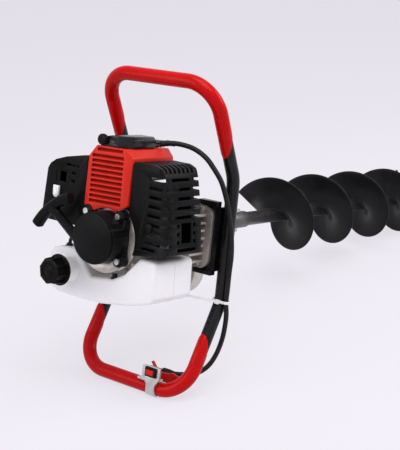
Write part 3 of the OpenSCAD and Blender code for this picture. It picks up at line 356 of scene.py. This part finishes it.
def dipped_vinyl():
    look = Look("dipped_vinyl", (0.50, 0.003, 0.003), 0.2, specular_ior_level=0.07, coat_weight=0.06,
                coat_roughness=0.08)
    look.tint(look.noise(14), (0.44, 0.002, 0.003))
    look.gloss(look.noise(55), 0.17, 0.27)
    return look.bump(look.noise(120, 2), 0.35, 0.25).made


def red_plastic(name, color, deep):
    look = Look(name, color, 0.32, specular_ior_level=0.14, coat_weight=0.05, coat_roughness=0.2)
    look.tint(look.noise(18), deep)
    look.gloss(look.noise(90), 0.28, 0.4)
    return look.bump(look.noise(1500, 2), 0.05, 0.3).made


def black_plastic(name, tone, rough, grain, shine=0.065):
    look = Look(name, (tone, tone, tone * 1.05), rough, specular_ior_level=shine)
    look.tint(look.noise(30), (tone * 1.7, tone * 1.7, tone * 1.75))
    look.gloss(look.noise(140), rough - 0.06, rough + 0.08)
    look.worn((0.016, 0.016, 0.017))
    return look.bump(look.noise(1900, 2), grain, 0.45).made


def white_poly():
    look = Look("white_polyethylene", (0.86, 0.85, 0.855), 0.4, specular_ior_level=0.35,
                subsurface_weight=0.25, subsurface_radius=(0.006, 0.006, 0.006), subsurface_scale=0.6)
    look.tint(look.noise(11), (0.82, 0.81, 0.82))
    look.gloss(look.noise(60), 0.32, 0.46)
    return look.bump(look.noise(420, 3), 0.08, 0.3).made


def cast_metal(name, color, dark, rough=0.42):
    look = Look(name, color, rough, metal=0.85)
    look.tint(look.noise(45, 5), dark, 0.42, 0.75)
    look.gloss(look.noise(160), rough - 0.1, rough + 0.14)
    look.worn(tuple(min(1, c * 1.5) for c in color))
    return look.bump(look.noise(1300, 4), 0.14, 0.55).made


def bright_metal(name, color, rough, stretch=(1, 1, 1)):
    look = Look(name, color, rough, metal=1.0)
    look.tint(look.noise(80, 4), tuple(c * 0.78 for c in color))
    look.gloss(look.noise(260, 3, stretch), rough - 0.08, rough + 0.12)
    return look.bump(look.noise(1800, 2, stretch), 0.03, 0.35).made


def bit_enamel():
    look = Look("bit_enamel", (0.004, 0.004, 0.005), 0.28, specular_ior_level=0.14)
    look.tint(look.noise(16, 4), (0.008, 0.0075, 0.009))
    look.gloss(look.noise(40, 4), 0.24, 0.4)
    look.worn((0.10, 0.10, 0.105), 0.55, 0.66)
    return look.bump(look.noise(500, 3), 0.12, 0.35).made


def heat_steel():
    look = Look("heat_steel", (0.085, 0.075, 0.068), 0.5, metal=0.8)
    look.tint(look.noise(28, 4), (0.05, 0.038, 0.032))
    look.tint(look.noise(60, 5), (0.10, 0.10, 0.115), 0.55, 0.8)
    return look.bump(look.noise(1100, 3), 0.08, 0.4).made


def rubber(name, tone, rough):
    look = Look(name, (tone, tone, tone), rough, specular_ior_level=0.2)
    look.tint(look.noise(35), (tone * 1.8, tone * 1.8, tone * 1.85))
    look.gloss(look.noise(200), rough - 0.07, rough + 0.07)
    return look.bump(look.noise(1400, 2), 0.05, 0.35).made


def foam_cells():
    look = Look("filter_foam_cells", (0.035, 0.035, 0.036), 0.95)
    cells = look.node("ShaderNodeTexVoronoi")
    cells.inputs["Scale"].default_value = 700
    look.link(look.where, cells.inputs["Vector"])
    look.tint(cells.outputs["Distance"], (0.005, 0.005, 0.005), 0.2, 0.6)
    return look.bump(cells.outputs["Distance"], 0.8, 0.9).made


def braided_rope():
    look = Look("braided_rope", (0.62, 0.58, 0.48), 0.8, sheen_weight=0.3)
    strands = look.node("ShaderNodeTexWave", wave_type="BANDS", bands_direction="DIAGONAL")
    strands.inputs["Scale"].default_value = 260
    strands.inputs["Distortion"].default_value = 1.5
    look.link(look.where, strands.inputs["Vector"])
    look.tint(strands.outputs["Fac"], (0.36, 0.33, 0.27))
    return look.bump(strands.outputs["Fac"], 0.4, 0.8).made


LOOKS = {
    "frame_paint": powder_coat(),
    "grip_coat": dipped_vinyl(),
    "red_plastic": red_plastic("red_plastic", (0.62, 0.024, 0.013), (0.54, 0.018, 0.010)),
    "red_control": red_plastic("red_control", (0.58, 0.012, 0.012), (0.48, 0.008, 0.01)),
    "black_plastic": black_plastic("black_plastic", 0.003, 0.32, 0.06),
    "white_plastic": white_poly(),
    "cast_aluminium": cast_metal("cast_aluminium", (0.56, 0.51, 0.47), (0.34, 0.30, 0.275)),
    "gearbox_paint": cast_metal("gearbox_paint", (0.55, 0.52, 0.49), (0.38, 0.35, 0.33), 0.48),
    "bit_paint": bit_enamel(),
    "bit_steel": bright_metal("bit_steel", (0.15, 0.145, 0.145), 0.4, (1, 6, 6)),
    "plain_steel": bright_metal("plain_steel", (0.50, 0.51, 0.52), 0.3, (1, 8, 8)),
    "zinc_steel": bright_metal("zinc_steel", (0.62, 0.62, 0.6), 0.32),
    "muffler_steel": heat_steel(),
    "rubber": rubber("rubber", 0.008, 0.45),
    "foam": foam_cells(),
    "rope": braided_rope(),
}
SLOT_OF = {s["node"]: s["material_slot"] for s in frame["record"]["subparts"]}
# The top cover is the same plastic with a polished face
NODE_LOOKS = {"top_cover": black_plastic("polished_black_plastic", 0.004, 0.2, 0.02, 0.3)}


# Carried-over CAD nodes get a finish and soft edges


def smooth_group():
    """Geometry nodes that shade smooth across every edge flatter than the limit."""
    group = bpy.data.node_groups.new("smooth_by_angle", "GeometryNodeTree")
    group.interface.new_socket("Geometry", in_out="INPUT", socket_type="NodeSocketGeometry")
    group.interface.new_socket("Geometry", in_out="OUTPUT", socket_type="NodeSocketGeometry")
    start = group.nodes.new("NodeGroupInput")
    end = group.nodes.new("NodeGroupOutput")
    faces = group.nodes.new("GeometryNodeSetShadeSmooth")
    edges = group.nodes.new("GeometryNodeSetShadeSmooth")
    edges.domain = "EDGE"
    angle = group.nodes.new("GeometryNodeInputMeshEdgeAngle")
    flat = group.nodes.new("FunctionNodeCompare")
    flat.operation = "LESS_THAN"
    flat.inputs["B"].default_value = math.radians(SMOOTH_BELOW)
    group.links.new(angle.outputs["Unsigned Angle"], flat.inputs["A"])
    group.links.new(start.outputs[0], faces.inputs["Geometry"])
    group.links.new(faces.outputs["Geometry"], edges.inputs["Geometry"])
    group.links.new(flat.outputs["Result"], edges.inputs["Shade Smooth"])
    group.links.new(edges.outputs["Geometry"], end.inputs[0])
    return group


SMOOTH = smooth_group()
EDGE_MM = {
    "mount_plate": 0.8, "clutch_housing": 1.2, "gearbox_housing": 1.2, "gearbox_cover": 1.2,
    "crankcase": 1.2, "cylinder_shroud": 0.8, "top_cover": 1.2, "cover_knob": 0.6, "muffler": 1.0,
    "muffler_guard": 0.9, "filter_cover": 1.0, "starter_cover": 1.0, "switch_clamp": 0.4,
    "switch_frame": 0.5, "stop_button": 0.7, "throttle_lever": 0.8, "choke_lever": 0.6,
    "pilot_point": 0.5, "cutting_blade": 0.4, "auger_shaft": 0.6, "output_shaft": 0.5,
    "upper_grip": 0.5, "lower_grip": 0.5, "carburettor": 0.8, "intake_block": 0.8,
}
# Slotted front that would close up if its flat triangles were merged
KEEP_TRIANGLES = {"cylinder_shroud"}


def finish_node(name):
    """Finish of a CAD node: its slot's material, welded faces, soft edges and smooth shading."""
    obj = NODES[name]
    obj.data.materials.clear()
    obj.data.materials.append(NODE_LOOKS.get(name, LOOKS[SLOT_OF[name]]))
    weld = obj.modifiers.new("weld", "WELD")
    weld.merge_threshold = WELD_M
    if name in EDGE_MM and name not in KEEP_TRIANGLES:
        flat = obj.modifiers.new("merge_flats", "DECIMATE")
        flat.decimate_type = "DISSOLVE"
        flat.angle_limit = math.radians(FLAT_BELOW)
    if name in EDGE_MM:
        add_bevel(obj, EDGE_MM[name])
    smooth = obj.modifiers.new("smooth", "NODES")
    smooth.node_group = SMOOTH


for node_name in NODES:
    finish_node(node_name)


# Fuel tank: a soft blow-moulded shell with its parting line and neck

TANK_OUTLINE = [
    (-97, -93), (-63, -103), (-30, -109.5), (10, -115.5), (40, -117), (106, -116.5), (130, -107),
    (137, -88), (132, -53), (124, -42), (106, -37), (74, -35), (62, -46), (50, -60), (34, -75), (10, -72),
    (-14, -68.5), (-36, -57), (-52, -40), (-66, -24), (-103, -24), (-105, -84),
]


def fuel_tank():
    """Tank skin, its parting line and its open neck."""
    corner_r = 10
    edge_r = 6
    outline = rounded(TANK_OUTLINE, corner_r)
    tank = piece("tank_shell", soft_slab(outline, TANK_X0, TANK_X1, edge_r, 7), "powerhead",
                 LOOKS["white_plastic"], ("fuel_tank",), 50)
    seam_x = (TANK_X0 + TANK_X1) / 2
    rings = []
    for x, grow in ((-0.9, 0.2), (-0.5, -0.35), (0.5, -0.35), (0.9, 0.2)):
        rings.append([(seam_x + x, y, z) for y, z in inset(outline, grow)])
    piece("tank_parting_line", loft(rings), "powerhead", LOOKS["white_plastic"])
    neck = []
    for x, r in ((TANK_X0 + 8, 24), (TANK_X0 + 1, 23), (TANK_X0 - 2.5, 21), (TANK_X0 - 5, NECK_R),
                 (NECK_X0 + 1, NECK_R), (NECK_X0, NECK_R - 1), (NECK_X0, NECK_R - 3.4),
                 (TANK_X0, NECK_R - 3.6)):
        neck.append([(x, NECK[0] + r * math.cos(a), NECK[1] + r * math.sin(a)) for a in around(48)])
    piece("tank_neck", loft(neck), "powerhead", LOOKS["white_plastic"], sharp=50)
    return tank


def fuel_cap():
    """Cap with a rolled rim, eight grip ribs, a recessed front and a plug."""
    sides = 240
    ribs = 8
    first = math.radians(12)
    rib_from = 0.62
    rib_run = 0.24
    # Way along the axis, radius between the ribs and radius on a rib
    profile = [
        (12, 16, 16), (0.5, 16, 16), (-0.5, 25.2, 25.2), (-0.9, 26.1, 26.1), (-1.8, 26.5, 26.5),
        (-2.8, 26, 26), (-3.3, 24, 24), (-4.5, 19.6, 23.3), (-14, 19.3, 23.1), (-21.5, 19, 22.7),
        (-23, 19.4, 22.5), (-24.2, 20.4, 22.1), (-25.6, 20, 21.2), (-26.6, 18.8, 19.4), (-26.9, 17.2, 17.2),
        (-26.9, 15.2, 15.2), (-26.2, 14.4, 14.4), (-25.4, 13.8, 13.8), (-25.4, 7, 7), (-26, 6, 6),
        (-26.2, 1, 1),
    ]
    rings = []
    for x, low, high in profile:
        ring = []
        for k in range(sides):
            a = 2 * math.pi * k / sides
            share = abs(((a - first) * ribs / (2 * math.pi)) % 1 - 0.5) * 2
            step = min(1, max(0, (share - rib_from) / rib_run))
            radius = low + (high - low) * step * step * (3 - 2 * step)
            y, z = NECK[0] + radius * math.cos(a), NECK[1] + radius * math.sin(a)
            ring.append((NECK_X0 + x, y, z))
        rings.append(ring)
    return piece("ribbed_fuel_cap", loft(rings), "tank_cap", LOOKS["black_plastic"],
                 ("fuel_cap",), 40)


fuel_tank()
fuel_cap()


# Pull grip and its rope

PULL_Y = ROPE_OFF * math.sin(PULL_ANGLE) + PULL_REACH * math.cos(PULL_ANGLE)
PULL_Z = -ROPE_OFF * math.cos(PULL_ANGLE) + PULL_REACH * math.sin(PULL_ANGLE)
PULL = (MACHINE @ Matrix.Translation((PULL_X, PULL_Y, PULL_Z)) @ Matrix.Rotation(PULL_ANGLE, 4, "X"))


def pull_grip():
    """Arched squarish grip: X across, Y out along the rope, Z along the grip, with plain cut ends."""
    rings = []
    arch_r = 130
    half = 46
    thick = 8.6
    square = 0.62
    cut = 1.6
    sides = 32
    places = [-half, -half + 0.25, -half + 0.8, -half + cut]
    places += list(np.linspace(-half + 4, half - 4, 31)) + [-q for q in places[::-1]]
    for along in places:
        a = along / arch_r
        near = half - abs(along)
        shrink = 1 if near >= cut else 0.86 + 0.14 * math.sqrt(max(0, 1 - (1 - near / cut) ** 2))
        swell = 1 - 0.035 * math.cos(math.pi * along / half)
        centre = Vector((0, arch_r * (math.cos(a) - 1), arch_r * math.sin(a)))
        out = Vector((0, math.cos(a), math.sin(a)))
        ring = []
        for j in range(sides):
            b = 2 * math.pi * j / sides
            wide = thick * math.copysign(abs(math.cos(b)) ** square, math.cos(b))
            deep = thick * math.copysign(abs(math.sin(b)) ** square, math.sin(b))
            ring.append(centre + Vector((wide * swell * shrink, 0, 0)) + out * deep * swell * shrink)
        rings.append(ring)
    grip = piece("arched_pull_grip", loft(rings), "pull_grip", LOOKS["black_plastic"],
                 ("pull_handle",), 40, PULL @ Matrix.Rotation(GRIP_TILT, 4, "X"))
    boss = []
    for y, r in ((-4, 9.5), (-8, 8.6), (-12, 8.2), (-19, 7.8), (-20, 7), (-20, 3.6), (-12, 3.5)):
        boss.append([(r * math.cos(a), y, r * math.sin(a)) for a in around(32)])
    piece("pull_grip_boss", loft(boss), "pull_grip", LOOKS["black_plastic"],
          (), 40, PULL)
    return grip


def rope_run():
    """Rope between the spout and the grip, baked in place on no body; on the machine it is drawn out as the
    grip is pulled.
    """
    pull_from, pull_to = -30, -8
    stations = list(np.linspace(-72, -32, 9)) + list(np.linspace(pull_from, pull_to, 90)) + [-6]
    route = [Vector((0, s, 0)) for s in stations]
    run = piece("starter_rope_run", loft(tube_rings(route, ROPE_R, 14)), "powerhead",
                LOOKS["rope"], (), 40, PULL)
    run.parent = None
    del run["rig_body"]
    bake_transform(run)
    return run


def wound_rope():
    """Turns of rope on the starter pulley."""
    coil_x = -196.6
    coil_r = 28
    turns = 3
    pitch = 3
    steps = 48
    wound_r = 1.4
    route = []
    for k in range(turns * steps + 1):
        a = 2 * math.pi * k / steps
        route.append(Vector((coil_x + pitch * k / steps, coil_r * math.cos(a), coil_r * math.sin(a))))
    return piece("wound_starter_rope", loft(tube_rings(route, wound_r, 12)), "pulley", LOOKS["rope"],
                 ("starter_rope",))


pull_grip()
rope_run()
wound_rope()


# Bit: smooth flighting with a rounded rim, and its weld beads


def helix(radius, offset, steps):
    """Points of a helix of the flight's pitch, at a radius and offset along the axis."""
    made = []
    for k in range(steps + 1):
        turn = BIT_TURNS * k / steps
        a = FLIGHT_A0 + 2 * math.pi * turn
        x = FLIGHT_X0 + BIT_PITCH * turn + offset
        made.append(Vector((x, radius * math.cos(a), radius * math.sin(a))))
    return made


def flighting():
    """Flight: a flat section with a rounded rim, swept along the helix."""
    steps = 72 * BIT_TURNS
    half = FLIGHT_T / 2
    across = [(r, 1) for r in (SHAFT_R - 0.6, 22, 34, 46, 58, 68)]
    across += [(BIT_R - 1.6, 1), (BIT_R - 0.5, 0.75), (BIT_R, 0.2)]
    section = [(r, -half * share) for r, share in across] + [(r, half * share) for r, share in across[::-1]]
    lines = [helix(r, x, steps) for r, x in section]
    rings = [[line[i] for line in lines] for i in range(steps + 1)]
    return piece("helical_flight", loft(rings), "auger", LOOKS["bit_paint"],
                 ("auger_flight",), 45)


def weld_bead(name, offset):
    """Rippled bead along the foot of the flight."""
    route = helix(SHAFT_R + 0.5, offset, 160 * BIT_TURNS)
    ripples_per_turn = 36

    def ripple(share):
        return 1.9 + 0.35 * math.sin(share * BIT_TURNS * 2 * math.pi * ripples_per_turn)

    return piece(name, loft(tube_rings(route, ripple, 8)), "auger", LOOKS["bit_paint"])


flighting()
BEAD_OUT = 0.6
weld_bead("weld_bead_front", FLIGHT_T / 2 + BEAD_OUT)
weld_bead("weld_bead_back", -FLIGHT_T / 2 - BEAD_OUT)


# Cable sleeve, fuel hose and filter foam

CABLE_POINTS = [
    (-84.5, -20.5, 152), (-80.5, -25, 152.5), (-75, -33, 154), (-66, -49, 154.5), (-56, -70, 150),
    (-49.5, -91, 138.5), (-45, -108, 121), (-40, -121, 102), (-36, -130, 79), (-31, -135, 55),
    (-24, -137, 30), (-18, -138, 5), (-14, -138, -22), (-12, -136, -50), (-9, -134, -80), (-8, -133, -102),
    (-5, -134, -122), (-2, -132, -142), (1, -127, -168), (1, -119, -195), (-2, -109, -217), (-9, -98, -231),
    (-19, -85, -238.5), (-29, -70, -241), (-35.5, -60, -241.5), (STOP_X, STOP_Y - 2, STOP_Z),
]
HOSE_POINTS = [
    (-150, 100, -34.5), (-149.6, 98.9, -26.2), (-148.4, 95.7, -18.6), (-146.5, 90.7, -12.2),
    (-144.1, 84.2, -7.5), (-141.2, 76.7, -4.9), (-138.4, 69.2, -2.4), (-136, 62.7, 2.3), (-134.1, 57.7, 8.7),
    (-132.9, 54.5, 16.3), (-132.5, 53.4, 24.6), (-132.2, 53.9, 34.5), (-131.4, 56, 47.4),
]


def cord_piece(name, points, diameter, node):
    """Rubber tube along a given route that goes back into the object."""
    route = curve_through(points, 6)
    shape = loft(tube_rings(route, diameter / 2, 20))
    cord = piece(name, shape, "powerhead", LOOKS["rubber"], (node,))
    return cord


cord_piece("throttle_cable_sleeve", CABLE_POINTS, CABLE_D, "throttle_cable")
cord_piece("fuel_line", HOSE_POINTS, HOSE_D, "fuel_hose")


def foam_pad():
    """Foam element with pillowed faces."""
    x0, x1 = -160, -100
    y0, y1 = 88.2, 112
    z0, z1 = 14, 106
    outline = rounded([(y0, z0), (y1, z0), (y1, z1), (y0, z1)], 4, 5)
    pad = piece("filter_foam_pad", soft_slab(outline, x0, x1, 3, 4), "powerhead", LOOKS["foam"],
                ("filter_foam",), 60)
    return pad


foam_pad()


# Rubber trim: the grommet and the outlet stub of the tank, and the boots at both ends of the cable


def turned(name, profile, at):
    """Upright rubber stub turned from a profile of (height, radius) pairs, at a point."""
    rings = []
    for along, r in profile:
        rings.append([Vector(at) + Vector((r * math.cos(a), r * math.sin(a), along)) for a in around(36)])
    return piece(name, loft(rings), "powerhead", LOOKS["rubber"], sharp=45)


GROMMET = [
    (-3.2, 8.2), (-0.6, 8.2), (0.1, 7.7), (0.4, 6.8), (0.7, 5.6), (3.4, 5.2), (4.2, 4.7), (4.4, 3.6),
]
OUTLET = [
    (-3, 6.4), (0.6, 6.4), (1.2, 5.8), (1.4, 4.4), (5.4, 4.2), (6, 4.6), (7.2, 4.6), (7.8, 4), (7.8, 1),
]
turned("hose_grommet", GROMMET, (-150, 100, -36.6))
turned("tank_outlet", OUTLET, (-156, -11, -68.9))


def cable_boot():
    """Tapered boot with five rings over the first stretch of the cable sleeve."""
    foot = (-88.4, -19, 152)
    route = curve_through([foot] + CABLE_POINTS[:4], 8)[:29]

    def taper(share):
        return 6.1 - 1.5 * share + 0.25 * math.cos(share * 2 * math.pi * 5)

    rings = tube_rings(route, taper, 24)
    return piece("cable_boot", loft(rings), "powerhead", LOOKS["rubber"])


def stop_boot():
    """Rubber boot over the cable's stop on the switch, tapered onto the sleeve."""
    ends = [Vector(p) for p in CABLE_POINTS[-2:]]
    back = (ends[0] - ends[1]).normalized()
    route = [Vector((STOP_X, STOP_Y + 11, STOP_Z)), Vector((STOP_X, STOP_Y + 5, STOP_Z)),
             Vector((STOP_X, STOP_Y, STOP_Z))] + [ends[1] + back * s for s in (1, 4, 7, 8)]
    radii = (6, 6.2, 6.2, 6, 5.4, 4.9, 4.5)
    rings = tube_rings(route, lambda share: radii[round(share * (len(radii) - 1))], 24)
    return piece("cable_stop_boot", loft(rings), "powerhead", LOOKS["rubber"])


cable_boot()
stop_boot()


# Camera, light and floor


def camera():
    """Camera at the place and angle of the photograph's."""
    a, b, c = CAMERA_AZIMUTH, CAMERA_PITCH, CAMERA_ROLL
    ahead = Vector((math.cos(b) * math.cos(a), math.cos(b) * math.sin(a), -math.sin(b)))
    right = ahead.cross(Vector((0, 0, 1))).normalized()
    up = right.cross(ahead)
    turned_right = right * math.cos(c) + up * math.sin(c)
    turned_up = up * math.cos(c) - right * math.sin(c)
    axes = Matrix((turned_right, turned_up, -ahead)).transposed().to_4x4()
    data = bpy.data.cameras.new("camera")
    data.lens = CAMERA_LENS
    data.sensor_width = CAMERA_SENSOR
    data.clip_end = 100
    made = bpy.data.objects.new("camera", data)
    bpy.context.scene.collection.objects.link(made)
    made.matrix_world = Matrix.Translation(MACHINE @ Vector(CAMERA_AT)) @ TURN @ axes
    bpy.context.scene.camera = made


def softbox(name, at, aim, size, power):
    """Square area lamp at a point in metres, aimed at another."""
    data = bpy.data.lights.new(name, "AREA")
    data.shape = "SQUARE"
    data.size = size
    data.energy = power
    lamp = bpy.data.objects.new(name, data)
    bpy.context.scene.collection.objects.link(lamp)
    lamp.location = at
    lamp.rotation_euler = (Vector(aim) - Vector(at)).to_track_quat("-Z", "Y").to_euler()


SKY = (0.95, 0.95, 1)
SKY_STRENGTH = 0.55
WALL = (0.80, 0.775, 0.83)
FLOOR = (0.76, 0.74, 0.79)
FLOOR_SEEN = (0.86, 0.835, 0.90)
FLOOR_LIFT = 0.76


def background_rays(tree):
    """One for the rays that show the background: from the camera, a gloss or a glass; else zero."""
    rays = tree.nodes.new("ShaderNodeLightPath")
    seen = tree.nodes.new("ShaderNodeMath")
    seen.operation = "MAXIMUM"
    either = tree.nodes.new("ShaderNodeMath")
    either.operation = "MAXIMUM"
    tree.links.new(rays.outputs["Is Camera Ray"], seen.inputs[0])
    tree.links.new(rays.outputs["Is Glossy Ray"], seen.inputs[1])
    tree.links.new(seen.outputs[0], either.inputs[0])
    tree.links.new(rays.outputs["Is Transmission Ray"], either.inputs[1])
    return either.outputs[0]


def lift_floor(look):
    """Pale tone of the floor where it is seen, mixed with its lit surface, so the shadow stays."""
    tree = look.tree
    pale = look.node("ShaderNodeEmission")
    pale.inputs["Color"].default_value = (*FLOOR_SEEN, 1)
    share = look.node("ShaderNodeMath", operation="MULTIPLY")
    share.inputs[1].default_value = FLOOR_LIFT
    mix = look.node("ShaderNodeMixShader")
    look.link(background_rays(tree), share.inputs[0])
    look.link(share.outputs[0], mix.inputs["Fac"])
    look.link(look.shader.outputs[0], mix.inputs[1])
    look.link(pale.outputs[0], mix.inputs[2])
    look.link(mix.outputs[0], tree.nodes["Material Output"].inputs["Surface"])


def studio():
    """Pale world, floor and three soft lamps."""
    world = bpy.data.worlds.new("studio")
    bpy.context.scene.world = world
    world.use_nodes = True
    tree = world.node_tree
    light = tree.nodes["Background"]
    light.inputs["Color"].default_value = (*SKY, 1)
    light.inputs["Strength"].default_value = SKY_STRENGTH
    wall = tree.nodes.new("ShaderNodeBackground")
    wall.inputs["Color"].default_value = (*WALL, 1)
    wall.inputs["Strength"].default_value = 1
    mix = tree.nodes.new("ShaderNodeMixShader")
    tree.links.new(background_rays(tree), mix.inputs["Fac"])
    tree.links.new(light.outputs[0], mix.inputs[1])
    tree.links.new(wall.outputs[0], mix.inputs[2])
    tree.links.new(mix.outputs[0], tree.nodes["World Output"].inputs["Surface"])
    look = Look("pale_floor", FLOOR, 0.7, specular_ior_level=0.2)
    look.tint(look.noise(1.5), tuple(c * 0.985 for c in FLOOR))
    lift_floor(look)
    reach = 12
    mesh = bpy.data.meshes.new("floor")
    corners = [(-reach, -reach, 0), (reach, -reach, 0), (reach, reach, 0), (-reach, reach, 0)]
    mesh.from_pydata(corners, [], [(0, 1, 2, 3)])
    mesh.materials.append(look.made)
    floor = bpy.data.objects.new("floor", mesh)
    bpy.context.scene.collection.objects.link(floor)
    centre = (0.3, 0, 0.25)
    softbox("key_overhead", (-0.2, -0.6, 2.4), centre, 1.8, 42)
    softbox("rim_right", (1.6, -1.4, 1.4), centre, 1.0, 18)
    softbox("fill_left", (-1.6, 0.9, 1.1), centre, 1.2, 10)
    bpy.context.scene.view_settings.view_transform = "Standard"


camera()
studio()
